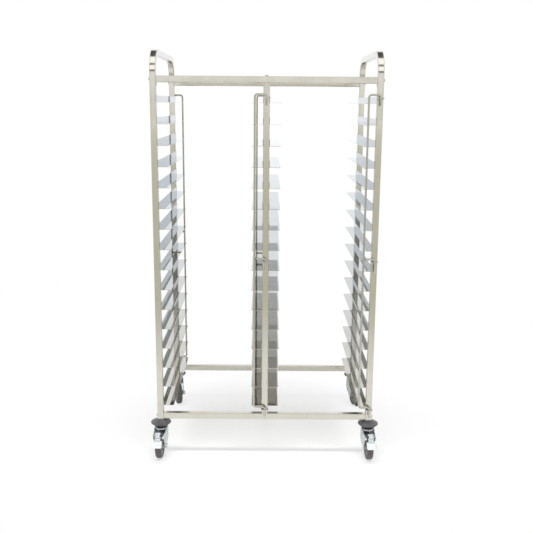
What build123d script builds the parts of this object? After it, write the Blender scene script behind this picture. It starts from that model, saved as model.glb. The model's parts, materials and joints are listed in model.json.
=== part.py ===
from build123d import *
import os
from math import atan2, cos, degrees, hypot, radians, sin

# A two-column tray trolley: a bolted frame of square steel tube, four runs of
# L-shaped slides, four swing-out tray stops, and four swivel casters.
# Millimetres. X runs across the columns, -Y is the loading front, +Z is up.
# The origin is on the floor, in the middle of the whole outline.

# Square tube
tube_side = 25.0
tube_wall = 1.5
tube_corner = 2.5
fit_gap = 0.1

# Frame
post_span_x = 872.0
post_span_y = 588.0
post_foot = 159.0
handle_top = 1660.0
handle_bend = 78.0
bottom_beam_z = 173.5
top_beam_z = 1545.5

# Slides
levels = 16
slide_pitch = 82.5
lowest_ledge = 222.0
ledge_width = 44.0
flange_height = 26.0
slide_sheet = 1.5
slide_bend = 1.4
slide_corner = 5.0

# Tray stops, bent from round bar, and their lugs; each triple runs from the bottom up
rod = 8.0
stop_reach = 45.0
stop_bend = 10.0
stop_stand_off = 13.0
stop_arms = (221.0, 851.0, 1491.0)
pivot_legs = (44.0, 56.0, 42.0)
lug_width = 29.0
lug_depth = 20.0
lug_sheet = 3.0
lug_corner = 8.0
lug_root_foot = 21.0
lug_root_height = 10.0
lug_drop = 10.4
lug_hole = 8.2

# Frame bolts and the threaded plugs that they go into
bolt = 8.0
bolt_hole = 8.4
bolt_length = 52.0
bolt_head = 15.0
bolt_head_height = 5.5
bolt_head_rim = 1.6
bolt_socket = 5.8
thread_hole = 8.04
plug_length = 30.0

# Wheels
wheel = 106.0
tread = 27.0
tread_crown = 0.8
tyre_bore = 64.0
trail = 38.0
axle = 10.0
sleeve = 13.0
sleeve_half = 20.9
spokes = 6

# Swivel
crown_top = 121.0
crown_radius = 27.4
crown_lip = 116.0
crown_roll = 2.2
cap_bottom = 124.5
cap_top = 130.5
cap_radius = 19.0
cap_skirt = 2.8
cap_skirt_wall = 1.8
stud = 12.0
stud_top = 167.0
rivet_radius = 9.5
rivet_height = 4.7
socket_length = 40.0
race_radius = 13.5
ball = 4.5
ball_play = 0.06
track_play = 0.2
balls_per_race = 16
bumper_radius = 42.0

# Pressed forks: the legs draw together towards the front, by toe_in for each millimetre,
# and bend into one wall behind the wheel
fork_sheet = 3.0
fork_back = 17.0
fork_bend = 10.0
leg_outside = 24.8
toe_in = 0.088
axle_boss = 26.0
axle_boss_radius = 10.0
axle_end_radius = 11.5
nut_flats = 17.0
nut_height = 6.2
axle_tail = 7.0
axle_head = 3.2

# Brakes
pin = 6.0
pin_reach = 84.0
pin_height = 106.5
pin_span = 42.6
pin_head = 1.4
ear_radius = 5.6
barrel_radius = 4.7
barrel_length = 34.0
pedal_sheet = 2.5
pedal_width = 36.0
pedal_lip = 1.0
pedal_knee = (92.0, 87.5)
pedal_tip = (112.0, 71.5)
brake_press = 14.0
shoe_gap = 0.6
shoe_angle = 40.0
shoe_length = 11.0
shoe_depth = 4.0

# How far each caster is turned from straight ahead
front_swing = 2.0
rear_left_swing = 14.0
rear_right_swing = 10.0

# Everything is drawn about the middle of the frame and moved back by this much,
# because the front pedals reach further than the rear bumpers
pedal_reach = pedal_tip[0] + pedal_lip
front_reach = pedal_reach * cos(radians(front_swing)) + pedal_width / 2 * sin(radians(front_swing))
frame_back = round((front_reach - bumper_radius) / 2, 1)

half = tube_side / 2
post_x = post_span_x / 2
post_y = post_span_y / 2
axle_z = wheel / 2
stop_y = post_y + half + stop_stand_off

os.makedirs("parts", exist_ok=True)


def save(name, *solids):
    """Write one node, moved into its place about the origin."""
    shape = solids[0] if len(solids) == 1 else Compound(children=list(solids))
    export_step(Pos(0, frame_back, 0) * shape, f"parts/{name}.step")


def cylinder_along(axis, radius, length, centre):
    """A cylinder along X, Y or Z, centred on a point."""
    turn = {"X": Rot(0, 90, 0), "Y": Rot(90, 0, 0), "Z": Rot(0, 0, 0)}[axis]
    return Pos(*centre) * turn * Cylinder(radius, length)


def disc(radius, low, high):
    """A cylinder about the Z axis between two heights."""
    return cylinder_along("Z", radius, high - low, (0, 0, (low + high) / 2))


def block(low, high):
    """A box between two corners."""
    size = [b - a for a, b in zip(low, high)]
    middle = [(a + b) / 2 for a, b in zip(low, high)]
    return Pos(*middle) * Box(*size)


def plate_across(points, width):
    """An outline of (reach, height) points, reach running forwards, as a plate across X."""
    outline = [(-reach, height) for reach, height in points]
    return extrude(Plane.YZ * make_face(Polyline(*outline, outline[0])), width / 2, both=True)


def mirrored(points):
    """An outline's right half, given from the top down, with its left half added."""
    return list(points) + [(-x, z) for x, z in reversed(points)]


def tube_section():
    """The square tube's section, with its bore."""
    bore = tube_side - 2 * tube_wall
    outside = RectangleRounded(tube_side, tube_side, tube_corner)
    return outside - RectangleRounded(bore, bore, tube_corner - tube_wall)


def tube_plug(length):
    """A block that slides into the tube's bore, standing on Z = 0."""
    side = tube_side - 2 * tube_wall - 2 * fit_gap
    return extrude(RectangleRounded(side, side, tube_corner - tube_wall), length)


# Frame


def hoop(x):
    """One side of the frame: front post, push handle and rear post from one bent tube."""
    top = handle_top - half
    path = FilletPolyline(
        (x, -post_y, post_foot), (x, -post_y, top), (x, post_y, top), (x, post_y, post_foot),
        radius=handle_bend,
    )
    tube = sweep(Plane((x, -post_y, post_foot), z_dir=(0, 0, 1)) * tube_section(), path=path)
    for y in (-post_y, post_y):
        for z in (bottom_beam_z, top_beam_z):
            tube -= cylinder_along("X", bolt_hole / 2, tube_side * 2, (x, y, z))
    return tube


def beam(y, z):
    """A cross beam between the hoops, drilled upright for the centre post's bolt."""
    length = post_span_x - tube_side
    tube = extrude(Plane((-length / 2, y, z), z_dir=(1, 0, 0)) * tube_section(), length)
    return tube - cylinder_along("Z", bolt_hole / 2, tube_side * 2, (0, y, z))


def centre_post(y):
    """The post between the two columns, standing between the beams."""
    low = bottom_beam_z + half
    length = top_beam_z - half - low
    return extrude(Plane((0, y, low), z_dir=(0, 0, 1)) * tube_section(), length)


def threaded_plug():
    """A plug with a thread through it, its face on Z = 0 and its body below."""
    plug = Pos(0, 0, -plug_length) * tube_plug(plug_length)
    return plug - cylinder_along("Z", thread_hole / 2, plug_length * 3, (0, 0, 0))


def frame_bolt():
    """A domed socket bolt standing on Z = 0, its shank pointing down."""
    seat = bolt_head / 2
    crest = (seat * 0.66, bolt_head_height * 0.8)
    dome = Plane.XZ * make_face(
        Polyline((0, 0), (seat, 0), (seat, bolt_head_rim))
        + ThreePointArc((seat, bolt_head_rim), crest, (0, bolt_head_height))
        + Line((0, bolt_head_height), (0, 0))
    )
    head = revolve(dome, axis=Axis.Z)
    socket = RegularPolygon(bolt_socket / 2, 6)
    head -= Pos(0, 0, bolt_head_height) * extrude(socket, bolt_head_height * 0.45, both=True)
    return head + disc(bolt / 2, -bolt_length, 0)


# Slides


def slide(side):
    """One L-shaped slide with its flange face on X = 0; side is where its column lies."""
    depth = post_span_y + tube_side
    flange_top = flange_height - slide_sheet
    flange = block((0, -depth / 2, -slide_sheet), (slide_sheet, depth / 2, flange_top))
    ledge = block((0, -depth / 2, -slide_sheet), (ledge_width, depth / 2, 0))
    shape = flange + ledge
    along = shape.edges().filter_by(Axis.Y)
    heel = along.sort_by(lambda e: hypot(e.center().X, e.center().Z + slide_sheet))[0]
    shape = fillet(heel, slide_bend)
    free = [e for e in shape.edges().filter_by(Axis.Z) if e.center().X > ledge_width - 0.1]
    shape = fillet(free, slide_corner)
    return shape if side > 0 else mirror(shape, about=Plane.YZ)


def slide_run(face_x, side):
    """All the slides of one run, one above the other."""
    pattern = slide(side)
    return [Pos(face_x, 0, lowest_ledge + slide_pitch * level) * pattern for level in range(levels)]


# Tray stops


def bent_rod(*corners):
    """Round bar bent along a polyline."""
    path = FilletPolyline(*corners, radius=stop_bend)
    return sweep(Plane(path @ 0, z_dir=path % 0) * Circle(rod / 2), path=path)


def stop_bow(pivot_x, pivot_y, reach_side):
    """A swing-out stop: a long leg beside the post and three arms that hook into the lugs."""
    low, middle, high = stop_arms
    leg_x = pivot_x + reach_side * stop_reach

    def at(x, z):
        return (x, pivot_y, z)

    bow = bent_rod(
        at(pivot_x, high - pivot_legs[2]), at(pivot_x, high), at(leg_x, high),
        at(leg_x, low), at(pivot_x, low), at(pivot_x, low - pivot_legs[0]),
    )
    return bow + bent_rod(at(leg_x, middle), at(pivot_x, middle), at(pivot_x, middle - pivot_legs[1]))


def stop_lug(pivot_x, face_y, outward, arm_z):
    """A plate on a tapered root, welded to a post, with the hole that a pivot leg turns in."""
    top = arm_z - lug_drop
    centre = (pivot_x, face_y + outward * lug_depth / 2, top - lug_sheet / 2)
    plate = Pos(*centre) * Box(lug_width, lug_depth, lug_sheet)
    corners = [e for e in plate.edges().filter_by(Axis.Z) if (e.center().Y - centre[1]) * outward > 0]
    plate = fillet(corners, lug_corner)
    wide, narrow = lug_width / 2, lug_root_foot / 2
    outline = [(-wide, 0), (wide, 0), (narrow, -lug_root_height), (-narrow, -lug_root_height), (-wide, 0)]
    root = extrude(Plane.XZ * make_face(Polyline(*outline)), lug_sheet / 2, both=True)
    lug = plate + Pos(pivot_x, face_y + outward * lug_sheet / 2, top) * root
    hole = (pivot_x, face_y + outward * stop_stand_off, top)
    return lug - cylinder_along("Z", lug_hole / 2, lug_sheet * 3, hole)


# Casters, each drawn with its stud on the Z axis and its wheel trailing towards -Y


def bumper():
    """The soft buffer between the post's foot and the caster: a bowl with a domed lid."""
    hole = stud / 2 + fit_gap
    cavity = cap_radius + 0.5
    foot = crown_top + 1.2
    bowl = [(cavity, cap_top), (cavity, foot), (cavity + 1.5, foot)]
    bowl += [(30.0, 130.8), (36.0, 136.4), (39.6, 138.8)]
    lid = [(39.6, 145.0), (38.0, 145.6), (21.0, 152.0), (18.0, 155.0), (17.0, post_foot), (hole, post_foot)]
    profile = Plane.XZ * make_face(
        Polyline((hole, cap_top), *bowl)
        + ThreePointArc(bowl[-1], (bumper_radius, 142.0), lid[0])
        + Polyline(*lid, (hole, cap_top))
    )
    return revolve(profile, axis=Axis.Z)


def ball_track():
    """The flat-bottomed track that the balls run in, cut into both races."""
    middle = (crown_top + cap_bottom) / 2
    low, high = middle - ball / 2 - ball_play, middle + ball / 2 + ball_play
    outer = disc(race_radius + ball / 2 + track_play, low, high)
    return outer - disc(race_radius - ball / 2 - track_play, low, high)


def swivel_cap():
    """The fixed half of the swivel: upper race, threaded stud and kingpin in one piece."""
    skirt = disc(cap_radius, cap_bottom - cap_skirt, cap_bottom)
    skirt -= disc(cap_radius - cap_skirt_wall, cap_bottom - cap_skirt * 2, cap_bottom)
    rivet_top = crown_top - fork_sheet - 0.3
    post = disc(stud / 2, rivet_top - rivet_height, stud_top)
    rivet = disc(rivet_radius, rivet_top - rivet_height, rivet_top)
    return disc(cap_radius, cap_bottom, cap_top) + skirt + post + rivet - ball_track()


def swivel_balls():
    """The ring of balls between the two races."""
    height = (crown_top + cap_bottom) / 2
    turns = [360 / balls_per_race * i for i in range(balls_per_race)]
    return [Rot(0, 0, a) * Pos(race_radius, 0, height) * Sphere(ball / 2) for a in turns]


def fork_body(inset):
    """The fork's outline as a solid: its plan cut by the view from the front, both drawn in by inset."""
    front, back = -100.0, fork_back - inset
    plan = [(leg_outside + toe_in * (y + trail) - inset, y) for y in (back, front)]
    base = make_face(Polyline(*mirrored(plan), plan[0]))
    base = fillet(base.vertices().sort_by(Axis.Y)[-2:], fork_bend - inset)
    legs = extrude(base, crown_top - inset)
    outline = [(26.6, crown_top), (28.6, 118.6), (30.5, 110.0), (30.5, 30.0)]
    outline = [(x - inset, z - (inset if z > 100 else 0)) for x, z in outline]
    section = Plane.XZ * make_face(Polyline(*mirrored(outline), outline[0]))
    return legs & extrude(section, 2 * -front, both=True)


def fork_side(braked):
    """The fork's outline from the side: a broad shoulder, a round end at the axle and an ear if braked."""
    rear = [(22, 121), (22, 86), (12, 78), (-3, 63), (-27, 50.5), (-38, 44)]
    front = [(-49.5, 50), (-54, 66), (-60, 84), (-62, 98), (-50, 112.5), (-30, 114), (-24, 121)]
    side = fillet(make_face(Polyline(*rear, *front, rear[0])).vertices(), 4.0)
    side += Pos(-trail, axle_z) * Circle(axle_end_radius)
    if braked:
        ends = (Pos(-pin_reach, pin_height) * Circle(ear_radius)).edges()
        side += make_hull(ends + (Pos(-51, 100) * Circle(13.0)).edges())
    return extrude(Plane.YZ * side, crown_radius * 2, both=True)


def fork(braked):
    """The pressed fork: a round crown with a rolled lip, and two legs."""
    shape = (fork_body(0) - fork_body(fork_sheet)) & fork_side(braked)
    opening = leg_outside - fork_sheet
    notch = block((-opening, -wheel, crown_lip - fork_sheet), (opening, -crown_radius / 2, crown_top + 1))
    shape -= notch - disc(crown_radius, 0, crown_top + 1)
    crown = disc(crown_radius, crown_lip, crown_top)
    crown = fillet(crown.edges().group_by(Axis.Z)[-1], crown_roll)
    crown -= disc(crown_radius - fork_sheet, 0, crown_top - fork_sheet)
    shape += crown
    boss = cylinder_along("X", axle_boss_radius, axle_boss * 2, (0, -trail, axle_z))
    boss -= cylinder_along("X", wheel, sleeve_half * 2, (0, -trail, axle_z))
    shape += boss
    shape -= disc(stud / 2 + 0.08, 0, stud_top)
    shape -= cylinder_along("X", axle / 2 + 0.05, wheel, (0, -trail, axle_z))
    if braked:
        shape -= cylinder_along("X", pin / 2 + 0.05, wheel, (0, -pin_reach, pin_height))
    return shape - ball_track()


def along_axle(radius, low, high):
    """A cylinder on the wheel's axis between two values of X."""
    return cylinder_along("X", radius, high - low, ((low + high) / 2, -trail, axle_z))


def axle_bolt():
    """The bolt that the wheel turns on, its low head on the -X side."""
    head = along_axle(axle_boss_radius - 1, -axle_boss - axle_head, -axle_boss)
    rim = head.edges().filter_by(GeomType.CIRCLE).sort_by(Axis.X)[0]
    return fillet(rim, 1.2) + along_axle(axle / 2, -axle_boss, axle_boss + axle_tail)


def axle_nut():
    """The lock nut on the axle bolt's other end."""
    flat = RegularPolygon(nut_flats / 2, 6, major_radius=False)
    nut = Pos(axle_boss, -trail, axle_z) * extrude(Plane.YZ * flat, nut_height)
    return nut - along_axle(axle / 2 + 0.02, 0, wheel)


def axle_sleeve():
    """The tube that keeps the legs apart and carries the hub."""
    return along_axle(sleeve / 2, -sleeve_half, sleeve_half) - along_axle(axle / 2 + 0.05, -wheel, wheel)


def turned_about_axle(*pieces):
    """Revolve an outline of (radius, x) about the wheel's axis."""
    outline = make_face(sum(pieces[1:], pieces[0]))
    return Pos(0, -trail, axle_z) * Rot(0, 90, 0) * revolve(Plane.XZ * outline, axis=Axis.Z)


def tyre():
    """The rubber tread, a little crowned, with round shoulders, pressed on the hub."""
    r, w = wheel / 2, tread / 2
    seat = tyre_bore / 2
    wall, shoulder, flat = r - 7, (r - 2.4, w - 2.2), (r - tread_crown, w - 7)
    return turned_about_axle(
        Polyline((seat, -w + 2), (seat + 3, -w), (wall, -w)),
        ThreePointArc((wall, -w), (shoulder[0], -shoulder[1]), (flat[0], -flat[1])),
        ThreePointArc((flat[0], -flat[1]), (r, 0), flat),
        ThreePointArc(flat, shoulder, (wall, w)),
        Polyline((wall, w), (seat + 3, w), (seat, w - 2), (seat, -w + 2)),
    )


def hub():
    """The moulded wheel centre, ribbed on both faces."""
    rim = tyre_bore / 2
    bore = sleeve / 2 + 0.08
    boss = sleeve_half - 0.6
    half_section = [(11.0, boss), (12.0, 4), (rim - 7, 4), (rim - 5, 12), (rim, 12)]
    mirror_half = [(r, -x) for r, x in reversed(half_section)]
    outline = [(bore, boss), *half_section, *mirror_half, (bore, -boss)]
    shape = turned_about_axle(Polyline(*outline, outline[0]))
    for spoke in range(spokes):
        rib = block((-9.0, -1.4, 11.0), (9.0, 1.4, rim - 5.5))
        shape += Pos(0, -trail, axle_z) * Rot(360 / spokes * spoke, 0, 0) * rib
    return shape


def pressed_back(point):
    """A point of the pressed brake, as (reach, height), turned back about the pin to its place at rest."""
    reach, height = point[0] - pin_reach, point[1] - pin_height
    c, s = cos(radians(brake_press)), sin(radians(brake_press))
    return (pin_reach + reach * c - height * s, pin_height + height * c + reach * s)


def brake_shoe():
    """The block that grips the tread, drawn pressed down, a little off the tyre, and turned back."""
    out = (cos(radians(shoe_angle)), sin(radians(shoe_angle)))
    corners = []
    for far, along in ((0, -0.5), (0, 0.5), (1, 0.5), (1, -0.5)):
        radius = axle_z + shoe_gap + far * shoe_depth
        reach = trail + radius * out[0] - along * shoe_length * out[1]
        height = axle_z + radius * out[1] + along * shoe_length * out[0]
        corners.append(pressed_back((reach, height)))
    return corners


def brake_pedal():
    """The foot pedal: a wide lower plate that locks, a small upper tab that frees, and a shoe."""
    knee, tip = pedal_knee, pedal_tip
    slope = atan2(knee[1] - tip[1], tip[0] - knee[0])
    under = (-sin(slope) * pedal_sheet, -cos(slope) * pedal_sheet)
    plate = [knee, (tip[0] + pedal_lip, tip[1]), (tip[0] + under[0], tip[1] + under[1])]
    plate.append((knee[0] + under[0], knee[1] + under[1] - 0.6))
    shoulder = [(89.0, 95.5), (91.0, 95.5), knee, plate[-1]]
    web = [(81.5, 105.0), (88.5, 107.0), (91.0, 95.5), (88.0, 88.0), (82.0, 95.5)]
    neck = [(83.0, 109.0), (86.4, 110.4), (79.6, 119.6), (77.2, 118.8)]
    tab = [(77.0, 118.8), (79.4, 119.4), (75.6, 127.2), (73.4, 126.4)]
    shoe = brake_shoe()
    bracket = [shoe[2], shoe[3], (89.5, 88.0), (89.5, 94.0)]
    pedal = cylinder_along("X", barrel_radius, barrel_length, (0, -pin_reach, pin_height))
    pedal += plate_across(plate, pedal_width)
    pedal += plate_across(shoulder, pedal_width)
    pedal += plate_across(web, 22.0)
    pedal += plate_across(neck, 17.0)
    pedal += plate_across(tab, 21.0)
    pedal += plate_across(shoe, 20.0)
    pedal += plate_across(bracket, 16.0)
    return pedal - cylinder_along("X", pin / 2 + 0.05, wheel, (0, -pin_reach, pin_height))


def brake_pin():
    """The pin that the pedal rocks on, peened over the fork's ears."""
    shaft = cylinder_along("X", pin / 2, pin_span, (0, -pin_reach, pin_height))
    for side in (-1, 1):
        centre = (side * (pin_span + pin_head) / 2, -pin_reach, pin_height)
        shaft += cylinder_along("X", pin / 2 + 1.5, pin_head, centre)
    return shaft


def stem_socket():
    """The plug in a post's foot, tapped for the caster and cross-drilled for the side bolt."""
    plug = Pos(0, 0, post_foot) * tube_plug(socket_length)
    plug -= disc(stud / 2 + 0.03, post_foot - 1, stud_top + 0.6)
    return plug - cylinder_along("X", bolt_hole / 2, tube_side, (0, 0, bottom_beam_z))


# The frame's pieces

save("left_hoop", hoop(-post_x))
save("right_hoop", hoop(post_x))
for row, y in (("front", -post_y), ("rear", post_y)):
    save(f"{row}_top_beam", beam(y, top_beam_z))
    save(f"{row}_bottom_beam", beam(y, bottom_beam_z))
    save(f"{row}_centre_post", centre_post(y))

beam_mouth = post_x - half
beam_ends = [(s, y, z) for s in (-1, 1) for y in (-post_y, post_y) for z in (bottom_beam_z, top_beam_z)]
save("beam_end_inserts", *[
    Pos(s * beam_mouth, y, z) * Rot(0, 90 * s, 0) * threaded_plug() for s, y, z in beam_ends
])
save("side_bolts", *[
    Pos(s * (post_x + half), y, z) * Rot(0, 90 * s, 0) * frame_bolt() for s, y, z in beam_ends
])

post_ends = [(s, y) for s in (-1, 1) for y in (-post_y, post_y)]
post_mouth = {-1: bottom_beam_z + half, 1: top_beam_z - half}
upright = {-1: Rot(180, 0, 0), 1: Rot(0, 0, 0)}
save("centre_post_inserts", *[
    Pos(0, y, post_mouth[s]) * upright[s] * threaded_plug() for s, y in post_ends
])
beam_outside = {-1: bottom_beam_z - half, 1: top_beam_z + half}
save("centre_bolts", *[
    Pos(0, y, beam_outside[s]) * upright[s] * frame_bolt() for s, y in post_ends
])

# The slides, by the face that carries each run

inner_face = post_x - half
save("left_outer_slides", *slide_run(-inner_face, 1))
save("left_centre_slides", *slide_run(-half, -1))
save("right_centre_slides", *slide_run(half, 1))
save("right_outer_slides", *slide_run(inner_face, -1))

# The stops: two in front, two behind, each on its own post

stops = {
    "front_centre": (0.0, -1, -1),
    "front_right": (post_x, -1, -1),
    "rear_left": (-post_x, 1, 1),
    "rear_centre": (0.0, 1, -1),
}
lugs = []
for name, (pivot_x, outward, reach_side) in stops.items():
    save(f"{name}_stop", stop_bow(pivot_x, outward * stop_y, reach_side))
    lugs += [stop_lug(pivot_x, outward * (post_y + half), outward, z) for z in stop_arms]
save("stop_lugs", *lugs)

# The casters

corners = {
    "front_left": (-1, -1, -front_swing),
    "front_right": (1, -1, front_swing),
    "rear_left": (-1, 1, rear_left_swing),
    "rear_right": (1, 1, rear_right_swing),
}
balls = []
sockets = []
for corner, (sx, sy, turn) in corners.items():
    place = Pos(sx * post_x, sy * post_y, 0)
    turned = place * Rot(0, 0, turn)
    braked = sy < 0
    save(f"{corner}_bumper", place * bumper())
    save(f"{corner}_swivel_cap", place * swivel_cap())
    save(f"{corner}_fork", turned * fork(braked))
    save(f"{corner}_axle_bolt", turned * axle_bolt())
    save(f"{corner}_axle_nut", turned * axle_nut())
    save(f"{corner}_axle_sleeve", turned * axle_sleeve())
    save(f"{corner}_hub", turned * hub())
    save(f"{corner}_tyre", turned * tyre())
    if braked:
        save(f"{corner}_brake_pedal", turned * brake_pedal())
        save(f"{corner}_brake_pin", turned * brake_pin())
    balls += [place * b for b in swivel_balls()]
    sockets.append(place * stem_socket())
save("swivel_balls", *balls)
save("stem_sockets", *sockets)

print("frame set back by", round(frame_back, 3))
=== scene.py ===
# %% [markdown]
# # A tray trolley in polished stainless steel
#
# The trolley is a frame of square tube with four runs of L-shaped slides, four rod stops and four casters.
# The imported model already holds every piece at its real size, so this file only dresses it. Flat sheet and
# small bolts keep their own meshes. Whatever is bent, turned or moulded is made again as a smooth surface,
# because polished metal shows every facet.

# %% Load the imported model
import json
from math import acos, atan2, cos, degrees, pi, radians, sin, tan

import bmesh
import bpy
import numpy as np
from mathutils import Matrix, Vector


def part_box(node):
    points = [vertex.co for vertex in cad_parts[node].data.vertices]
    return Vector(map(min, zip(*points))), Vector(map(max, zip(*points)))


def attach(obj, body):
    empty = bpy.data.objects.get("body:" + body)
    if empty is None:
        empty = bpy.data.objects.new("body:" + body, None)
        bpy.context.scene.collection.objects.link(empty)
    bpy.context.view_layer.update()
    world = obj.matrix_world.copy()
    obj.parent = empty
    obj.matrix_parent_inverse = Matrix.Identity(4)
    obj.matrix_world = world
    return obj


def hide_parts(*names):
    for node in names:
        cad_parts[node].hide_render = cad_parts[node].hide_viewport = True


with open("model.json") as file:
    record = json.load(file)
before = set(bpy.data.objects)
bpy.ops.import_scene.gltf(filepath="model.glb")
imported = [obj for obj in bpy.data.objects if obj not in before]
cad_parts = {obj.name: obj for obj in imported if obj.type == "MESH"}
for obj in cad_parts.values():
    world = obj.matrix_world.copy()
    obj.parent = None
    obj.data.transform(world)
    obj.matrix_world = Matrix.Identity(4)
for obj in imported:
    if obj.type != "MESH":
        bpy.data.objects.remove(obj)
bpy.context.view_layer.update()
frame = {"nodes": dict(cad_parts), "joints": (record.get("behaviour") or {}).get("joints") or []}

joints = {joint["name"]: joint for joint in frame["joints"]}

# %% [markdown]
# ## Sizes that the frame gives
#
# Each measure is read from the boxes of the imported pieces, so the new surfaces land where the old ones are.
# The few sizes that a box can't give, such as a bend's radius, are written down here in metres.

# %% Read the frame's own sizes
mm = 0.001
hoop_low, hoop_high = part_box("right_hoop")
tube_side = hoop_high.x - hoop_low.x
post_x = (hoop_high.x + hoop_low.x) / 2
post_front = hoop_low.y + tube_side / 2
post_rear = hoop_high.y - tube_side / 2
middle_y = (post_front + post_rear) / 2
handle_z = hoop_high.z - tube_side / 2
foot_z = hoop_low.z
tube_wall = 1.5 * mm
tube_corner = 2.5 * mm
handle_bend = 78 * mm
rod_radius = 4 * mm
rod_bend = 10 * mm
print("posts at x", round(post_x, 4), "y", round(post_front, 4), round(post_rear, 4))

# %% [markdown]
# ## Helpers for surfaces
#
# Every new piece is a grid of points, worked out as one numpy array. `skin` joins neighbouring points with
# four-sided faces and measures a UV map in metres, and `piece` puts one or more skins into a mesh, closes
# their seams and poles, and turns all faces outwards. The mesh keeps real coordinates, so its object stays
# at the origin.

# %% Grids to meshes
def lengths(points, axis):
    """The distance travelled along one direction of a grid, averaged over the other, starting at zero."""
    step = np.linalg.norm(np.diff(points, axis=axis), axis=2).mean(axis=1 - axis)
    return np.concatenate([[0.0], np.cumsum(step)])


def skin(points, close_u=False, close_v=False):
    """Points, faces and UVs of a grid of shape (u, v, 3). A closed direction repeats its first row at its
    end, so that the UV map keeps running there."""
    points = np.concatenate([points, points[:1]], axis=0) if close_u else points
    points = np.concatenate([points, points[:, :1]], axis=1) if close_v else points
    rows, columns = points.shape[:2]
    index = np.arange(rows * columns).reshape(rows, columns)
    quads = np.stack([index[:-1, :-1], index[1:, :-1], index[1:, 1:], index[:-1, 1:]], axis=-1)
    uv = np.stack(np.meshgrid(lengths(points, 0), lengths(points, 1), indexing="ij"), axis=-1)
    return points.reshape(-1, 3), quads.reshape(-1, 4), uv.reshape(-1, 2)


def mesh_of(name, skins, merge=1e-6):
    """One mesh from several skins. Points closer than merge become one, and faces turn outwards."""
    starts = np.cumsum([0] + [len(points) for points, _, _ in skins[:-1]])
    points = np.vstack([points for points, _, _ in skins])
    quads = np.vstack([quads + start for (_, quads, _), start in zip(skins, starts)])
    uv = np.vstack([uv for _, _, uv in skins])
    mesh = bpy.data.meshes.new(name)
    mesh.from_pydata(points.tolist(), [], quads.tolist())
    mesh.uv_layers.new(name="along_and_round").data.foreach_set("uv", uv[quads.ravel()].ravel())
    work = bmesh.new()
    work.from_mesh(mesh)
    bmesh.ops.remove_doubles(work, verts=work.verts, dist=merge)
    bmesh.ops.recalc_face_normals(work, faces=work.faces)
    work.to_mesh(mesh)
    work.free()
    mesh.polygons.foreach_set("use_smooth", [True] * len(mesh.polygons))
    return mesh


def piece(name, skins, body, material, replaces=()):
    """An object made of skins, riding on a body, in a material, in the place of the nodes it replaces."""
    made = bpy.data.objects.new(name, mesh_of(name, skins))
    bpy.context.scene.collection.objects.link(made)
    made.data.materials.append(material)
    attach(made, body)
    if replaces:
        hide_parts(*replaces)
    return made


# %% Bent paths
def bent_path(corners, radius, steps=16, ease=1 * mm):
    """A polyline with each inner corner turned into an arc. A point stands just outside each arc's ends, so
    that a long straight run keeps a constant direction. Returns points and their directions of travel."""
    corners = np.array(corners, float)
    points, travel = [corners[0]], [corners[1] - corners[0]]
    for before, corner, after in zip(corners, corners[1:], corners[2:]):
        into = (corner - before) / np.linalg.norm(corner - before)
        out = (after - corner) / np.linalg.norm(after - corner)
        turn = acos(float(np.clip(into @ out, -1, 1)))
        start = corner - into * radius * tan(turn / 2)
        inward = out - into * (into @ out)
        inward /= np.linalg.norm(inward)
        angles = np.linspace(0, turn, steps + 1)[:, None]
        arc = start + radius * (into * np.sin(angles) + inward * (1 - np.cos(angles)))
        along = into * np.cos(angles) + inward * np.sin(angles)
        points += [start - into * ease, *arc, arc[-1] + out * ease]
        travel += [into, *along, out]
    points.append(corners[-1])
    travel.append(corners[-1] - corners[-2])
    travel = np.array(travel)
    return np.array(points), travel / np.linalg.norm(travel, axis=1, keepdims=True)


def swept(points, travel, side, outlines):
    """Carries outlines, shape (n, 2) or one for each row, along a path in the plane square to side. Their
    first column is measured across the path in that plane, their second along side."""
    side = np.array(side, float)
    across = np.cross(side, travel)
    outlines = np.broadcast_to(outlines, (len(points),) + np.shape(outlines)[-2:])
    return points[:, None, :] + outlines[..., :1] * across[:, None, :] + outlines[..., 1:] * side


# %% Outlines
def rounded_rectangle(width, height, corner, steps=5, ease=0.1 * mm):
    """A closed outline whose corners are quarter turns. A point stands just past both ends of each, so that
    the flats stay truly flat in a reflection."""
    quarter = np.linspace(0, pi / 2, steps + 1)
    arc = np.stack([np.cos(quarter), np.sin(quarter)], axis=1) * corner
    first, last = arc[0] - [0, ease], arc[-1] - [ease, 0]
    one = np.vstack([first, arc, last])
    rows = []
    for turn, (x, y) in enumerate([(1, 1), (-1, 1), (-1, -1), (1, -1)]):
        cosine, sine = cos(turn * pi / 2), sin(turn * pi / 2)
        turned_one = one @ np.array([[cosine, sine], [-sine, cosine]])
        rows.append(turned_one + [x * (width / 2 - corner), y * (height / 2 - corner)])
    return np.vstack(rows)


def circle(radius, count):
    """A closed circle of count points."""
    angle = np.arange(count) / count * 2 * pi
    return np.stack([np.cos(angle), np.sin(angle)], axis=1) * radius


def arc(centre, radius, first, last, steps=8):
    """Points on a circle from one angle to another, in degrees."""
    angle = np.radians(np.linspace(first, last, steps + 1))
    return np.array(centre) + radius * np.stack([np.cos(angle), np.sin(angle)], axis=1)


def turned(profile, count=48):
    """A profile of (radius, height) turned about the Z axis: at each angle a, (r cos a, r sin a, h)."""
    profile = np.array(profile, float)
    angle = np.arange(count) / count * 2 * pi
    radius, height = profile[:, :1], profile[:, 1:]
    return np.stack([radius * np.cos(angle), radius * np.sin(angle), height + 0 * angle], axis=-1)


tube_outline = rounded_rectangle(tube_side, tube_side, tube_corner)
bore_side = tube_side - 2 * tube_wall
bore_outline = rounded_rectangle(bore_side, bore_side, tube_corner - tube_wall)
print("tube outline points", len(tube_outline))

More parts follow.
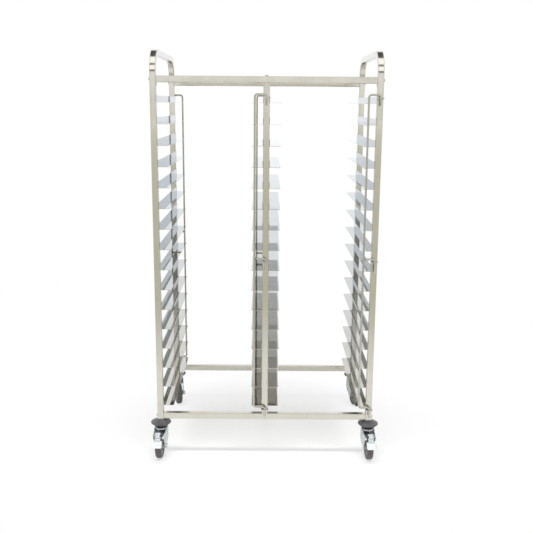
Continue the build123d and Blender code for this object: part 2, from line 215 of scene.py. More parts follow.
# %% [markdown]
# ## Finishes
#
# Stainless steel is a metal shader with a pale, slightly warm colour. What makes it steel and not chrome is
# in the roughness: a polished tube is smoother in some bands than in others, because the belt ran along it,
# and sheet is a little wavy, so its reflections wander. Both come from noise that is stretched along the
# piece. New pieces have a UV map in metres, and carried-over sheet reads its Object coordinates.

# %% Node helpers
def node_adder(tree):
    """A function that adds a node to a tree, with its settings and with values or links at its inputs."""
    def add(kind, inputs=(), **settings):
        node = tree.nodes.new(kind)
        for key, value in settings.items():
            setattr(node, key, value)
        for key, value in dict(inputs).items():
            if isinstance(value, bpy.types.NodeSocket):
                tree.links.new(value, node.inputs[key])
            else:
                node.inputs[key].default_value = value
        return node

    return add


def blank(name):
    """A material with its tree, its shader and a function that adds a linked node."""
    material = bpy.data.materials.new(name)
    material.use_nodes = True
    tree = material.node_tree
    return material, tree, tree.nodes["Principled BSDF"], node_adder(tree)


def place_of(add, stretch, from_uv=False):
    """Coordinates in metres, stretched by a factor in each direction, from the UV map or the object."""
    source = add("ShaderNodeTexCoord")
    return add(
        "ShaderNodeMapping", {"Vector": source.outputs["UV" if from_uv else "Object"], "Scale": stretch}
    ).outputs["Vector"]


def noise(add, where, scale, detail=3.0, rough=0.55):
    """Fractal noise between 0 and 1."""
    node = add("ShaderNodeTexNoise", {"Vector": where, "Scale": scale, "Detail": detail, "Roughness": rough})
    return node.outputs["Fac"]


def spread(add, value, low, high, from_low=0.3, from_high=0.7):
    """Maps a noise's usual range onto low to high."""
    node = add(
        "ShaderNodeMapRange",
        {"Value": value, "From Min": from_low, "From Max": from_high, "To Min": low, "To Max": high},
    )
    return node.outputs["Result"]


def blend_colours(add, amount, first, second):
    """A colour between two, by a factor."""
    node = add("ShaderNodeMix", {"Factor": amount}, data_type="RGBA")
    node.inputs["A"].default_value = (*first, 1)
    node.inputs["B"].default_value = (*second, 1)
    return node.outputs["Result"]


# %% Metals
def steel(name, pale, deep, stretch, from_uv, rough, wave, wave_scale, grain, edge_tint=(1, 1, 1)):
    """Polished or rolled steel. pale and deep are its two tints, rough its range of roughness, wave the
    height of its slow dents in metres and wave_scale how many there are to a metre, grain the height of its
    fine lines, and edge_tint the tint of reflections that only graze it."""
    material, tree, shader, add = blank(name)
    shader.inputs["Metallic"].default_value = 1.0
    shader.inputs["Specular Tint"].default_value = (*edge_tint, 1)
    lines = place_of(add, stretch, from_uv)
    evenly = place_of(add, (1, 1, 1), from_uv)
    fine = noise(add, lines, scale=900, detail=4)
    bands = noise(add, lines, scale=60, detail=2)
    smudge = noise(add, evenly, scale=9, detail=5, rough=0.62)
    tree.links.new(blend_colours(add, spread(add, smudge, 0, 1), pale, deep), shader.inputs["Base Color"])
    streaks = add("ShaderNodeMath", {0: bands, 1: smudge}, operation="MULTIPLY")
    gloss = spread(add, streaks.outputs[0], *rough, from_low=0.12, from_high=0.42)
    tree.links.new(gloss, shader.inputs["Roughness"])
    dents = noise(add, evenly, wave_scale, detail=1)
    slow = add("ShaderNodeBump", {"Height": dents, "Distance": wave, "Strength": 1.0})
    scratch = add(
        "ShaderNodeBump", {"Height": fine, "Distance": grain, "Strength": 1.0, "Normal": slow.outputs[0]}
    )
    tree.links.new(scratch.outputs[0], shader.inputs["Normal"])
    return material


tube_steel = steel(
    "polished_tube", (0.635, 0.62, 0.55), (0.57, 0.555, 0.485), (0.02, 1, 1), True,
    rough=(0.10, 0.24), wave=0.15 * mm, wave_scale=14, grain=0.004 * mm, edge_tint=(0.97, 0.96, 1.0),
)
slide_steel = steel(
    "rolled_sheet", (0.625, 0.60, 0.545), (0.54, 0.52, 0.47), (1, 0.02, 1), False,
    rough=(0.02, 0.07), wave=0.6 * mm, wave_scale=6, grain=0.003 * mm, edge_tint=(0.84, 0.88, 0.94),
)
rod_steel = steel(
    "drawn_rod", (0.54, 0.53, 0.46), (0.44, 0.43, 0.38), (0.03, 1, 1), True,
    rough=(0.18, 0.30), wave=0.05 * mm, wave_scale=20, grain=0.004 * mm,
)
bolt_steel = steel(
    "bright_bolt", (0.62, 0.62, 0.60), (0.50, 0.50, 0.48), (1, 1, 1), False,
    rough=(0.16, 0.30), wave=0.02 * mm, wave_scale=60, grain=0.002 * mm,
)
lug_steel = steel(
    "cut_plate", (0.62, 0.60, 0.54), (0.50, 0.48, 0.43), (1, 0.1, 1), False,
    rough=(0.22, 0.38), wave=0.03 * mm, wave_scale=40, grain=0.005 * mm,
)


def zinc(name, pale, deep, rough, metallic=1.0):
    """Bright zinc plate: cells of slightly different tint and gloss, with a faint cloudy bloom. The clear
    coat on it scatters a little light, which the metallic share lets through."""
    material, tree, shader, add = blank(name)
    shader.inputs["Metallic"].default_value = metallic
    where = place_of(add, (1, 1, 1))
    cells = add("ShaderNodeTexVoronoi", {"Vector": where, "Scale": 160.0}).outputs["Color"]
    grey = add("ShaderNodeRGBToBW", {"Color": cells}).outputs[0]
    bloom = noise(add, where, scale=40, detail=4)
    mixed = add("ShaderNodeMath", {0: grey, 1: bloom}, operation="MULTIPLY").outputs[0]
    cloud = spread(add, mixed, 0, 1, from_low=0.05, from_high=0.5)
    tree.links.new(blend_colours(add, cloud, pale, deep), shader.inputs["Base Color"])
    tree.links.new(spread(add, bloom, *rough), shader.inputs["Roughness"])
    crystals = noise(add, where, scale=700, detail=3)
    skin_bump = add("ShaderNodeBump", {"Height": crystals, "Distance": 0.01 * mm, "Strength": 1.0})
    tree.links.new(skin_bump.outputs[0], shader.inputs["Normal"])
    return material


zinc_steel = zinc("zinc_plate", (0.70, 0.77, 0.765), (0.52, 0.59, 0.59), (0.20, 0.36), metallic=0.8)
# Near-white, mostly diffuse zinc: painted highlight, so that the crown reads white under the buffer. The axle
# bolt and the brake pin wear it too.
bright_zinc = zinc("bright_zinc", (0.95, 0.97, 0.965), (0.88, 0.91, 0.91), (0.16, 0.30), metallic=0.3)
# The pedal's neck, barrel, web and tab: a darker copy of the foot plate's zinc, painted shade on the one
# pressed piece.
shaded_pedal_zinc = zinc("pedal_neck", (0.72, 0.79, 0.78), (0.58, 0.65, 0.65), (0.24, 0.38), metallic=0.8)
pedal_steel = zinc("bright_pedal", (0.94, 0.96, 0.96), (0.84, 0.88, 0.88), (0.28, 0.42))


def weld_metal():
    """A bead of weld: rippled, a little darker than the sheet, with straw and blue heat tints."""
    material, tree, shader, add = blank("weld_bead")
    shader.inputs["Metallic"].default_value = 1.0
    where = place_of(add, (1, 1, 1))
    tint = spread(add, noise(add, where, scale=90, detail=2), 0, 1)
    straw, blue = (0.60, 0.52, 0.40), (0.42, 0.44, 0.50)
    tree.links.new(blend_colours(add, tint, straw, blue), shader.inputs["Base Color"])
    tree.links.new(spread(add, noise(add, where, scale=300), 0.28, 0.5), shader.inputs["Roughness"])
    ripples = noise(add, where, scale=1200, detail=2)
    bump = add("ShaderNodeBump", {"Height": ripples, "Distance": 0.15 * mm, "Strength": 1.0})
    tree.links.new(bump.outputs[0], shader.inputs["Normal"])
    return material


weld_steel = weld_metal()
print("metals", len(bpy.data.materials))

# %% [markdown]
# ## Rubber and plastic
#
# The bumpers, tyres and wheel centres are moulded. Their colour is nearly even, so the life is in the
# surface: a fine moulded grain, a dusty bloom on the tread and a soft sheen.

# %% Moulded finishes
def moulded(name, colour, dust, rough, grain_scale, grain, sheen):
    """Moulded rubber or plastic: colour, lighter dust in patches, and a fine grain of a given height."""
    material, tree, shader, add = blank(name)
    where = place_of(add, (1, 1, 1))
    patches = noise(add, where, scale=35, detail=6, rough=0.65)
    dusty = spread(add, patches, 0, 1, from_low=0.42, from_high=0.72)
    tree.links.new(blend_colours(add, dusty, colour, dust), shader.inputs["Base Color"])
    tree.links.new(spread(add, patches, *rough), shader.inputs["Roughness"])
    shader.inputs["Sheen Weight"].default_value = sheen
    shader.inputs["Specular IOR Level"].default_value = 0.4
    pores = noise(add, where, grain_scale, detail=2)
    bump = add("ShaderNodeBump", {"Height": pores, "Distance": grain, "Strength": 1.0})
    tree.links.new(bump.outputs[0], shader.inputs["Normal"])
    return material


bumper_rubber = moulded(
    "bumper_rubber", (0.075, 0.074, 0.080), (0.125, 0.124, 0.132),
    rough=(0.24, 0.40), grain_scale=160, grain=0.12 * mm, sheen=0.05,
)
# Near-black rubber: the brake shoe's own colour, and painted shade in the ring under each buffer and the rings
# at the pedal barrel's ends.
boot_rubber = moulded(
    "boot_rubber", (0.012, 0.012, 0.013), (0.03, 0.03, 0.03),
    rough=(0.35, 0.5), grain_scale=900, grain=0.02 * mm, sheen=0.0,
)
tyre_rubber = moulded(
    "tyre_rubber", (0.098, 0.088, 0.091), (0.142, 0.131, 0.136),
    rough=(0.55, 0.75), grain_scale=700, grain=0.04 * mm, sheen=0.1,
)
hub_plastic = moulded(
    "hub_plastic", (0.34, 0.34, 0.335), (0.42, 0.42, 0.41),
    rough=(0.4, 0.55), grain_scale=500, grain=0.015 * mm, sheen=0.0,
)
print("materials", len(bpy.data.materials))

# %% [markdown]
# ## The tube frame
#
# Each side of the trolley is one tube, bent twice: front post, push bar and rear post. The path is a
# polyline with two arcs, and the rounded square is carried along it. At the feet the skin turns in over the
# tube's wall and runs back up the bore, so the mouth shows its real thickness over the caster.

# %% Hoops
mouth_depth = 45 * mm
lip = 0.3 * mm


def mouth_rows(end, inward):
    """Rows that close an open end: the outer edge, the bore's edge, the bore just inside and at a depth, and
    a pole there."""
    rows = [(0.0, tube_outline), (0.0, bore_outline), (lip, bore_outline)]
    rows += [(mouth_depth, bore_outline), (mouth_depth, bore_outline * 0)]
    return [(end + inward * far, outline) for far, outline in rows]


def hoop(name, x):
    """Front post, handle bar and rear post as one swept tube with open feet."""
    bends = [(post_front, foot_z), (post_front, handle_z), (post_rear, handle_z), (post_rear, foot_z)]
    points, travel = bent_path([(x, *bend) for bend in bends], handle_bend, steps=28)
    up = np.array([0, 0, 1.0])
    first = mouth_rows(points[0], up)[::-1]
    last = mouth_rows(points[-1], up)
    outside = [points[0] + up * lip, *points[1:-1], points[-1] + up * lip]
    rows = first + [(point, tube_outline) for point in outside] + last
    directions = np.vstack([travel[:1].repeat(len(first), 0), travel, travel[-1:].repeat(len(last), 0)])
    path = np.array([point for point, _ in rows])
    grid = swept(path, directions, (1, 0, 0), np.array([outline for _, outline in rows]))
    return piece(name + "_tube", [skin(grid, close_v=True)], "frame", tube_steel, [name])


hoops = [hoop("left_hoop", -post_x), hoop("right_hoop", post_x)]
print("hoop faces", len(hoops[0].data.polygons))


# %% Beams and centre posts
end_row = 1 * mm


def straight_tube(node, axis):
    """A square tube between the two ends of a node's box, closed at both ends, where its neighbours butt."""
    low, high = (np.array(corner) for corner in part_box(node))
    centre = (low + high) / 2
    along = np.eye(3)[axis]
    first, last = low[axis], high[axis]
    stations = [first, first, first + end_row, last - end_row, last, last]
    points = np.array([centre + along * (station - centre[axis]) for station in stations])
    outlines = np.array([tube_outline * 0] + [tube_outline] * 4 + [tube_outline * 0])
    side = np.eye(3)[(axis + 1) % 3]
    grid = swept(points, np.repeat(along[None], len(points), 0), side, outlines)
    return piece(node + "_tube", [skin(grid, close_v=True)], "frame", tube_steel, [node])


for row in ("front", "rear"):
    straight_tube(f"{row}_top_beam", 0)
    straight_tube(f"{row}_bottom_beam", 0)
    straight_tube(f"{row}_centre_post", 2)
print("tubes made")

# %% [markdown]
# ## Slides, lugs and bolts
#
# A slide is flat sheet with one small fold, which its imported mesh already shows, so it only needs the rolled
# finish. What it lacks is the weld that holds it: a short bead along the flange's top edge, where it crosses
# each post. A bead is a row of overlapping ripples, made here as a ridge whose height rises and falls.

# %% Give the carried-over pieces their finish
def dress(material, *nodes):
    """Puts one material on carried-over pieces."""
    for name in nodes:
        mesh = frame["nodes"][name].data
        mesh.materials.clear()
        mesh.materials.append(material)


runs = ["left_outer_slides", "left_centre_slides", "right_centre_slides", "right_outer_slides"]
dress(slide_steel, *runs)
dress(bolt_steel, "side_bolts", "centre_bolts", "swivel_balls")
dress(lug_steel, "stop_lugs", "beam_end_inserts", "centre_post_inserts", "stem_sockets")
print("runs of slides", len(runs))


# %% Weld beads
bead_reach = 8 * mm
bead_rise = 0.9 * mm
bead_depth = 0.7 * mm
bead_ripples = 5


def bead(x, y, z):
    """A ridge of oval section that runs 8 mm both ways along Y from a point. Its size is one less the eighth
    power of the distance from the middle, so both ends taper, times a ripple of |sin|."""
    share = np.linspace(0, 1, bead_ripples * 3 + 1)[:, None]
    swell = (1 - (2 * share - 1) ** 8) * (0.82 + 0.18 * np.abs(np.sin(share * pi * bead_ripples)))
    angle = np.linspace(0, 2 * pi, 9)[None, :-1]
    spine = np.array([x, y - bead_reach, z]) + np.array([0, 2 * bead_reach, 0]) * share
    across = np.stack([np.sin(angle) * bead_depth, 0 * angle, np.cos(angle) * bead_rise], axis=-1)
    return skin(spine[:, None, :] + swell[..., None] * across, close_v=True)


levels = 16
sheet_thick = 1.5 * mm
flange_rise = 24.5 * mm
lowest_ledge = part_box(runs[0])[0].z + sheet_thick
top_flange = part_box(runs[0])[1].z
slide_pitch = (top_flange - lowest_ledge - flange_rise) / (levels - 1)
for run in runs:
    low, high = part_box(run)
    faces_right = run in ("left_outer_slides", "right_centre_slides")
    x = low.x + bead_depth if faces_right else high.x - bead_depth
    flange_tops = [lowest_ledge + slide_pitch * level + flange_rise for level in range(levels)]
    beads = [bead(x, y, top) for top in flange_tops for y in (post_front, post_rear)]
    piece(run.replace("slides", "welds"), beads, "frame", weld_steel)
print("pitch", round(slide_pitch / mm, 2), "mm")

# %% [markdown]
# ## The swing-out stops
#
# A stop is a bow of round bar: a long leg, an arm at each end, and a short leg that hangs from each arm into
# a lug. A third arm is welded on halfway. The bar's ends are domed, which is the same sweep with circles
# that shrink to a point.

# %% Bent rods
pivot_legs = {"top": 42 * mm, "middle": 56 * mm, "bottom": 44 * mm}
rod_outline = circle(rod_radius, 20)
dome_rows = 5
dome_reach = rod_radius * 0.5


def rod(corners, blunt_start=False):
    """Round bar bent along corners, with domed ends: the circle's size follows a quarter of a circle. A
    blunt start is flat, where the bar butts against another."""
    points, travel = bent_path(corners, rod_bend, steps=10, ease=0.5 * mm)
    angle = np.linspace(0, pi / 2, dome_rows)
    dome = np.cos(angle)
    steps_out = np.sin(angle) * dome_reach
    end = points[-1] - travel[-1] * dome_reach
    start = points[0] + travel[0] * (0 if blunt_start else dome_reach)
    tail = [end + travel[-1] * step for step in steps_out]
    head = [start] * dome_rows if blunt_start else [start - travel[0] * step for step in steps_out]
    rows = np.array(head[::-1] + list(points[1:-1]) + tail)
    sizes = np.concatenate([dome[::-1], np.ones(len(points) - 2), dome])
    directions = np.vstack([travel[:1].repeat(dome_rows, 0), travel[1:-1], travel[-1:].repeat(dome_rows, 0)])
    return skin(swept(rows, directions, (0, 1, 0), rod_outline * sizes[:, None, None]), close_v=True)


saddle_spread = 0.6 * mm
saddle_lift = 0.2 * mm
saddle_size = 1.1 * mm
saddle_ripples = 7


def saddle_weld(leg_x, y, z, side):
    """The bead where a bar meets another at right angles. Its centre line is where a circle about the arm
    lies on the leg's surface, and a small circle is carried round it."""
    angle = np.arange(20) / 20 * 2 * pi
    reach = rod_radius + saddle_spread
    across, up = reach * np.sin(angle), reach * np.cos(angle)
    out = np.sqrt(np.maximum((rod_radius + saddle_lift) ** 2 - across ** 2, 0)) * side
    line = np.stack([leg_x + out, y + across, z + up], axis=1)
    away = np.stack([0 * angle, np.sin(angle), np.cos(angle)], axis=1)
    turn = np.arange(8) / 8 * 2 * pi
    size = saddle_size * (1 + 0.12 * np.cos(angle * saddle_ripples))[:, None, None]
    along_leg = np.cos(turn)[None, :, None] * away[:, None, :]
    along_arm = np.sin(turn)[None, :, None] * np.array([side, 0, 0.0])
    return skin(line[:, None, :] + size * (along_leg + along_arm), close_u=True, close_v=True)


def stop(name):
    """One stop, measured from its node's box and its joint's axis."""
    node = f"{name}_stop"
    joint = joints[f"{name}_stop_swing"]
    pivot_x, y, middle = joint["pos_m"]
    low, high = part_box(node)
    leg_x = low.x + rod_radius if abs(high.x - pivot_x) < 2 * rod_radius else high.x - rod_radius
    top = high.z - rod_radius
    bottom = low.z + pivot_legs["bottom"]
    bow = rod([
        (pivot_x, y, top - pivot_legs["top"]), (pivot_x, y, top), (leg_x, y, top),
        (leg_x, y, bottom), (pivot_x, y, bottom), (pivot_x, y, bottom - pivot_legs["bottom"]),
    ])
    arm_end = (pivot_x, y, middle - pivot_legs["middle"])
    arm = rod([(leg_x, y, middle), (pivot_x, y, middle), arm_end], blunt_start=True)
    side = 1 if pivot_x > leg_x else -1
    piece(node + "_bar", [bow, arm], f"{name}_gate", rod_steel, [node])
    piece(node + "_weld", [saddle_weld(leg_x, y, middle, side)], f"{name}_gate", weld_steel)
    return leg_x


for name in ("front_centre", "front_right", "rear_left", "rear_centre"):
    print(name, "stop leg at x", round(stop(name), 4))

# %% [markdown]
# ## The casters
#
# A caster is drawn once, in millimetres, with its stud on the Z axis and its wheel trailing towards -Y. Each
# corner then turns that drawing by its own swivel angle, which the roll joint's axis gives, and moves it
# under its post. Round parts are profiles of (radius, height) points, turned about an axis, in which every
# rounded edge is an arc.

# %% Caster sizes and places
trail = 38.0
axle_z = 53.0
pin_reach = 84.0
pin_height = 106.5
corners = ("front_left", "front_right", "rear_left", "rear_right")


def corner_place(corner):
    """A function that moves points drawn in millimetres about the stud to their place on the trolley."""
    pivot = np.array(joints[f"{corner}_swivel"]["pos_m"])
    axis = joints[f"{corner}_roll"]["axis"]
    yaw = atan2(axis[1], axis[0])
    turn = np.array([[cos(yaw), sin(yaw), 0], [-sin(yaw), cos(yaw), 0], [0, 0, 1.0]])

    def place(points):
        return (points * mm) @ turn + np.array([pivot[0], pivot[1], 0])

    return place, degrees(yaw)


def about_axle(points):
    """Turns what was drawn about Z so that it goes round the wheel's axle, which lies along X."""
    x, y, z = points[..., 2], points[..., 0], points[..., 1]
    return np.stack([x, y - trail, z + axle_z], axis=-1)


def bar(start, end, side, width, height, corner):
    """A straight bar of rounded rectangular section with slightly rounded ends. Width lies along side."""
    start, end = np.array(start, float), np.array(end, float)
    along = (end - start) / np.linalg.norm(end - start)
    stations = [start, start, start + along * corner, end - along * corner, end, end]
    full = rounded_rectangle(height, width, corner, steps=3, ease=corner / 4)
    small = rounded_rectangle(height - corner, width - corner, corner / 2, steps=3, ease=corner / 8)
    outlines = np.array([full * 0, small, full, full, small, full * 0])
    return swept(np.array(stations), np.repeat(along[None], 6, 0), side, outlines)


# %% Bumper, painted shade ring and swivel cap
bumper_profile = np.vstack([
    [(6.3, 159), (16.2, 159)], arc((16.2, 158.3), 0.7, 90, 10, 4), [(17.6, 155.6)],
    arc((22.4, 157.6), 4.9, 205, 248, 5), [(30.0, 149.4), (36.6, 146.6)],
    arc((37.8, 142.0), 4.1, 76, -62, 14),
    [(36.2, 136.9), (31.2, 132.3), (30.4, 132.1), (19.8, 131.6), (6.3, 131.6)],
])
# A black ring under the buffer's bowl: painted shade for its dark underside.
underside_shade_profile = np.vstack([
    [(19.7, 131.2), (30.0, 131.2)], arc((29.6, 130.6), 0.7, 70, -50, 4), [(25.4, 126.4), (22.0, 123.4)],
    arc((20.8, 123.2), 1.0, 0, -90, 4), [(19.7, 122.3)],
])
cap_profile = np.array([
    (0, 167), (5.2, 167), (6.0, 166.2), (6.0, 130.5), (18.4, 130.5), (19.0, 129.9), (19.0, 121.9),
    (18.8, 121.7), (17.4, 121.7), (17.2, 121.9), (17.2, 124.5), (9.5, 124.5), (6.0, 124.3), (6.0, 117.7),
    (8.8, 117.7), (9.5, 117.0), (9.3, 114.4), (8.0, 113.2), (0, 113.0),
])


def moulded_bumper(corner, place):
    """The saucer-shaped buffer, a black ring below it over the race, which is painted shade for the buffer's
    dark underside, and the race itself.
    """
    body = skin(place(turned(bumper_profile, 72)), close_u=True, close_v=True)
    piece(f"{corner}_buffer", [body], "frame", bumper_rubber, [f"{corner}_bumper"])
    # Painted shade: the black ring under the bowl.
    shade_ring = skin(place(turned(underside_shade_profile, 60)), close_u=True, close_v=True)
    piece(f"{corner}_race_painted_shade", [shade_ring], "frame", boot_rubber)
    cap = skin(place(turned(cap_profile)), close_u=True)
    piece(f"{corner}_race_cap", [cap], "frame", zinc_steel, [f"{corner}_swivel_cap"])


print("bumper radius", round(bumper_profile[:, 0].max(), 1), "mm")


# %% [markdown]
# ## The fork
#
# A caster's fork is pressed from one blank into a bell: one wall that runs up one leg, round behind the
# wheel and down the other, under a round crown with a rolled lip. The wall is swept along its plan. At each
# station its section is a strip of sheet with rounded edges, and the strip's foot and top follow the view
# from the side: round at the axle, wide at the shoulder, and on a braked fork with an ear for the pedal's
# pin. Near the top the section leans in over the shoulder, along a quarter of an ellipse.

# %% Fork outlines
sheet = 3.0
crown_top = 121.0
edge = 0.8
fork_bend = 10.0
fork_back = 17.0
leg_at_axle = 24.8
leg_slope = 0.088
leg_foot = 93
ear_nose = 5.6
axle_eye = 11.5
leg_stations = [
    -61.9, -61.4, -60.8, -60, -58.5, -57, -55.5, -54, -52.5, -51, -50, -49.45, -49.2, -48.6, -47.6, -46, -44,
    -41, -38, -35, -32, -30, -28.6, -27.4, -26.4, -25, -23.5, -22, -18, -13, -8, -3, 1, 4,
]
ear_stations = [-89.58, -89.4, -88.9, -88.0, -86.8, -85.4, -84, -80, -75, -70, -66, -63.5, -62.2]
foot_line = np.array([
    (-62, leg_foot), (-60, 84), (-54, 66), (-49.4, 51), (-38, 44), (-27, 50.5), (-3, 63), (12, 78), (20, 84),
])
top_line = np.array([
    (-62, 95.5), (-61, 100), (-57, 106), (-51, 112), (-45, 113.2), (-30, 114), (-27, 116.5), (-24.5, 120),
    (-22, crown_top),
])
ear_foot_line = np.array([(-pin_reach, 100.9), (-62, leg_foot)])
ear_top_line = np.array([(-pin_reach, 112.1), (-45, 113.2)])


def fork_plan(stations):
    """The wall's outer face from above, from the left leg's front end to the right one's, with the direction
    square to it, pointing inwards. A leg is the line x = 24.8 + 0.088 (y + trail), and an arc joins it to
    the straight back."""
    lean = atan2(leg_slope, 1)
    leg = np.stack([leg_at_axle + leg_slope * (stations + trail), stations], axis=1)
    bend_y = fork_back - fork_bend
    centre = (leg_at_axle + leg_slope * (bend_y + trail) - fork_bend, bend_y)
    bend = arc(centre, fork_bend, -degrees(lean), 90, 10)
    back = np.stack([np.linspace(centre[0], 0, 6)[1:], np.full(5, fork_back)], axis=1)
    half = np.vstack([leg, bend, back])
    plan = np.vstack([half * [-1, 1], half[-2::-1]])
    travel = np.gradient(plan, axis=0)
    travel /= np.linalg.norm(travel, axis=1, keepdims=True)
    return plan, np.stack([travel[:, 1], -travel[:, 0]], axis=1)


def fork_side(y, braked):
    """The foot and the top of the wall at each y, as seen from the side: straight lines between points, half
    a circle under the axle, and half a circle at the ear's nose."""
    foot = np.interp(y, *foot_line.T)
    eye = axle_z - np.sqrt(np.maximum(axle_eye ** 2 - (y + trail) ** 2, 0))
    foot = np.where(abs(y + trail) < axle_eye - 0.1, np.minimum(foot, eye), foot)
    top = np.interp(y, *top_line.T)
    if braked:
        nose = np.sqrt(np.maximum(ear_nose ** 2 - (y + pin_reach) ** 2, 0))
        foot = np.where(y < ear_foot_line[-1, 0], np.interp(y, *ear_foot_line.T), foot)
        top = np.where(y < ear_top_line[-1, 0], np.interp(y, *ear_top_line.T), top)
        foot = np.where(y < -pin_reach, pin_height - nose, foot)
        top = np.where(y < -pin_reach, pin_height + nose, top)
    return foot, top


print("fork stations", len(leg_stations), "on a leg and", len(ear_stations), "on an ear")


# %% Fork wall
bulge_height = 109
bulge_rise = 12.01
bulge_x = (25.0, 5.5)
bulge_y = (12.4, 4.6)


def fork_wall(braked):
    """The wall as a closed sweep. Each row is one strip's section: up its outer face and down its inner one,
    with quarter circles at its edges. Over the shoulder's height h the section keeps within an ellipse: its
    reach is the inner one and the rest times sqrt(1 - ((h - 109) / 12)^2)."""
    plan, inward = fork_plan(np.array((ear_stations if braked else []) + leg_stations))
    foot, top = fork_side(plan[:, 1], braked)
    size = np.minimum(edge, (top - foot) * 0.48)[:, None]
    rise = np.array([0, 0.02, 0.25, 0.5, 0.66, 0.78, 0.86, 0.92, 0.96, 0.985, 1.0])
    up = foot[:, None] + size + (top - foot - 2 * size[:, 0])[:, None] * rise
    quarter = np.linspace(0, pi / 2, 4)[None, :]
    over_in, over_up = size * (1 - np.cos(quarter)), top[:, None] - size + size * np.sin(quarter)
    under_in, under_up = size * (1 - np.sin(quarter)), foot[:, None] + size - size * np.cos(quarter)
    outer_depth = [0 * up, over_in, sheet - over_in[:, ::-1]]
    inner_depth = [0 * up + sheet, sheet - under_in[:, ::-1], under_in]
    depth = np.hstack(outer_depth + inner_depth)
    height = np.hstack([up, over_up, over_up[:, ::-1], up[:, ::-1], under_up[:, ::-1], under_up])
    flat = plan[:, None, :] + inward[:, None, :] * depth[..., None]
    bulge = np.sqrt(1 - np.clip((height - bulge_height) / bulge_rise, 0, 1) ** 2)
    limit_x = bulge_x[0] + bulge_x[1] * bulge - depth
    limit_y = bulge_y[0] + bulge_y[1] * bulge - depth
    x = np.clip(flat[..., 0], -limit_x, limit_x)
    y = np.minimum(flat[..., 1], limit_y)
    rows = np.stack([x, y, height], axis=-1)
    ends = [rows[:1].mean(axis=1, keepdims=True).repeat(rows.shape[1], 1) for rows in (rows, rows[::-1])]
    return np.concatenate([ends[0], rows, ends[1]])


print("wall grids", fork_wall(False).shape, "plain and", fork_wall(True).shape, "with ears")


# %% Fork crown and bosses
roof_side = 23.6
roof_rear = 11.6
roof_front = 24.0
roof_inner = 18.0
roof_outer = 27.0


def fork_roof():
    """The flat shoulder between the round crown and the wall. At each angle its section is a thin strip that
    reaches from the crown to the wall's rectangle, side / |cos| or end / |sin|, whichever comes first."""
    angle = np.arange(96) / 96 * 2 * pi
    cosine, sine = np.cos(angle), np.sin(angle)
    to_side = roof_side / np.maximum(np.abs(cosine), 1e-6)
    to_end = np.where(sine > 0, roof_rear, roof_front) / np.maximum(np.abs(sine), 1e-6)
    outer = np.clip(np.minimum(to_side, to_end), roof_inner + 0.1, roof_outer)[:, None]
    inner = roof_inner + 0 * outer
    radius = np.hstack([inner, outer, outer, inner])
    top, bottom = crown_top - 0.1, crown_top - sheet
    height = np.array([[top, top, bottom, bottom]]) + 0 * radius
    return np.stack([radius * cosine[:, None], radius * sine[:, None], height], axis=-1)


crown_profile = np.vstack([
    [(6.1, crown_top), (16.4, crown_top), (17.2, crown_top - 0.3)],
    [(18.2, crown_top - 0.3), (19.2, crown_top)],
    arc((25.2, crown_top - 2.2), 2.2, 90, 0, 6), [(27.4, 117.0)], arc((26.6, 116.8), 0.8, 0, -90, 3),
    [(25.2, 116.0)], arc((25.2, 116.8), 0.8, -90, -180, 3), [(24.4, 118.0), (6.1, 118.0)],
])
boss_profile = np.array([
    (5.1, 20.9), (9.4, 20.9), (10.0, 21.5), (10.0, 25.4), (9.4, 26.0), (5.1, 26.0),
])


def pressed_fork(corner, place, braked):
    """The wall with the two bosses that the axle bolt clamps, and the crown with its shoulder, near-white as
    painted highlight.
    """
    skins = [skin(place(fork_wall(braked)), close_v=True)]
    for side in (-1, 1):
        boss = about_axle(turned(boss_profile * [1, side], 36))
        skins.append(skin(place(boss), close_u=True, close_v=True))
    piece(f"{corner}_pressed_fork", skins, f"{corner}_yoke", zinc_steel, [f"{corner}_fork"])
    # Near-white crown and shoulder: painted highlight standing in for the bright rim under the buffer.
    crown = [
        skin(place(fork_roof()), close_u=True, close_v=True),
        skin(place(turned(crown_profile, 72)), close_u=True, close_v=True),
    ]
    piece(f"{corner}_crown", crown, f"{corner}_yoke", bright_zinc)


print("crown radius", crown_profile[:, 0].max(), "mm")


# %% Axle bolt and nut
nut_half_width = 8.5
nut_profile = np.array([
    (5.1, 26.0), (8.9, 26.0), (9.9, 26.5), (9.9, 29.0), (9.9, 31.4), (8.6, 32.2), (6.4, 32.2), (5.1, 31.7),
])


def nut_surface():
    """A hexagon nut: its radius is the turned profile's or 8.5 / cos of the angle from the nearest flat's
    middle, whichever is less, so that a cone takes the corners off."""
    angle = np.arange(96)[:, None] / 96 * 2 * pi
    from_flat = np.mod(angle, pi / 3) - pi / 6
    radius = np.minimum(nut_half_width / np.cos(from_flat), nut_profile[:, 0])
    height = nut_profile[:, 1] + 0 * radius
    return np.stack([radius * np.cos(angle), radius * np.sin(angle), height], axis=-1)


bolt_profile = np.array([
    (0, -29.2), (5.6, -29.2), (7.6, -28.9), (8.6, -28.2), (9.0, -27.2), (9.0, -26.0), (5.0, -26.0),
    (5.0, 32.2), (4.2, 33.0), (0, 33.0),
])


def axle_hardware(corner, place):
    """The bolt with its low head on one side and the nut on the other."""
    body = f"{corner}_yoke"
    bolt = skin(place(about_axle(turned(bolt_profile, 36))), close_u=True)
    piece(f"{corner}_wheel_bolt", [bolt], body, bright_zinc, [f"{corner}_axle_bolt"])
    nut = skin(place(about_axle(nut_surface())), close_u=True, close_v=True)
    piece(f"{corner}_wheel_nut", [nut], body, zinc_steel, [f"{corner}_axle_nut"])
    dress(zinc_steel, f"{corner}_axle_sleeve")


print("axle bolt", round(np.ptp(bolt_profile[:, 1]), 1), "mm long")


# %% [markdown]
# ## Wheels and brakes
#
# The tyre is a thick band of soft grey rubber with round shoulders and flat walls. The wheel centre is
# moulded plastic: a rim, a thin web, a boss and six ribs. In front, a foot pedal rocks on a pin between the
# fork's ears. Its broad lower plate pushes a shoe on to the tread, and its small upper tab lifts the shoe
# off again.

